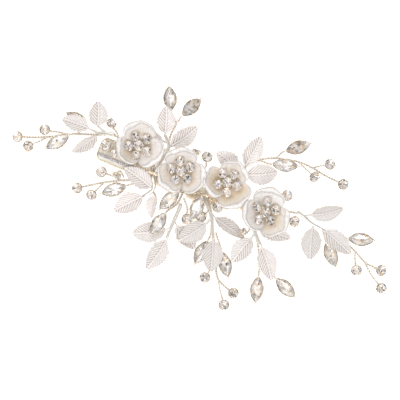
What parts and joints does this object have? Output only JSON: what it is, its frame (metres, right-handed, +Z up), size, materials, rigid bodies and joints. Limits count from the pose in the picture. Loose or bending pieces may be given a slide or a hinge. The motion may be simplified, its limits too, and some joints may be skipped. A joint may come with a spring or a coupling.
{
  "type": "flower hair clip",
  "caption": "Bridal hair clip: enamelled flowers, leaf castings and crystal stones on gold wires, tied along the upper arm of a sprung alligator clip.",
  "frame": {"origin": "middle of the flat underside of the lower arm, which is the face that lies on the head or a table", "axes": "+X along the clip from the finger tabs to the nose, +Y to the left of it, +Z up from the lower arm through the flowers"},
  "size_m": [0.17, 0.0793, 0.0167],
  "materials": {
    "petal_enamel": "pearly white enamel, warmer toward the middle",
    "leaf_enamel": "off-white enamel over a veined casting",
    "gold_plate": "pale champagne gold plating",
    "crystal": "clear, faceted, foil backed",
    "clip_steel": "bright nickel plate"
  },
  "bodies": {
    "spray": {"upper_arm": "clip_steel", "hinge_pin": "clip_steel", "torsion_spring": "clip_steel", "spine_wire": "gold_plate", "binding_wire": "gold_plate", "flower_stems": "gold_plate", "flower_1_petals": "petal_enamel", "flower_1_settings": "gold_plate", "flower_1_stones": "crystal", "flower_2_petals": "petal_enamel", "flower_2_settings": "gold_plate", "flower_2_stones": "crystal", "flower_3_petals": "petal_enamel", "flower_3_settings": "gold_plate", "flower_3_stones": "crystal", "flower_4_petals": "petal_enamel", "flower_4_settings": "gold_plate", "flower_4_stones": "crystal", "leaf_sprig_1": "leaf_enamel", "leaf_sprig_2": "leaf_enamel", "leaf_sprig_3": "leaf_enamel", "leaf_sprig_4": "leaf_enamel", "leaf_sprig_5": "leaf_enamel", "leaf_sprig_6": "leaf_enamel", "leaf_sprig_7": "leaf_enamel", "leaf_sprig_8": "leaf_enamel", "branch_1_wires": "gold_plate", "branch_1_settings": "gold_plate", "branch_1_stones": "crystal", "branch_2_wires": "gold_plate", "branch_2_settings": "gold_plate", "branch_2_stones": "crystal", "branch_3_wires": "gold_plate", "branch_3_settings": "gold_plate", "branch_3_stones": "crystal", "branch_4_wires": "gold_plate", "branch_4_settings": "gold_plate", "branch_4_stones": "crystal", "branch_5_wires": "gold_plate", "branch_5_settings": "gold_plate", "branch_5_stones": "crystal", "branch_6_wires": "gold_plate", "branch_6_settings": "gold_plate", "branch_6_stones": "crystal", "branch_7_wires": "gold_plate", "branch_7_settings": "gold_plate", "branch_7_stones": "crystal", "branch_8_wires": "gold_plate", "branch_8_settings": "gold_plate", "branch_8_stones": "crystal", "branch_9_wires": "gold_plate", "branch_9_settings": "gold_plate", "branch_9_stones": "crystal"},
    "lower_jaw": {"lower_arm": "clip_steel"}
  },
  "joints": [
    {"name": "jaw_hinge", "type": "hinge", "parent": "spray", "child": "lower_jaw", "pos_m": [-0.008, 0, 0.004], "axis": [0, 1, 0], "range_deg": [0, 25], "stiffness_Nm_per_rad": 0.25, "springref_deg": -22.92}
  ]
}
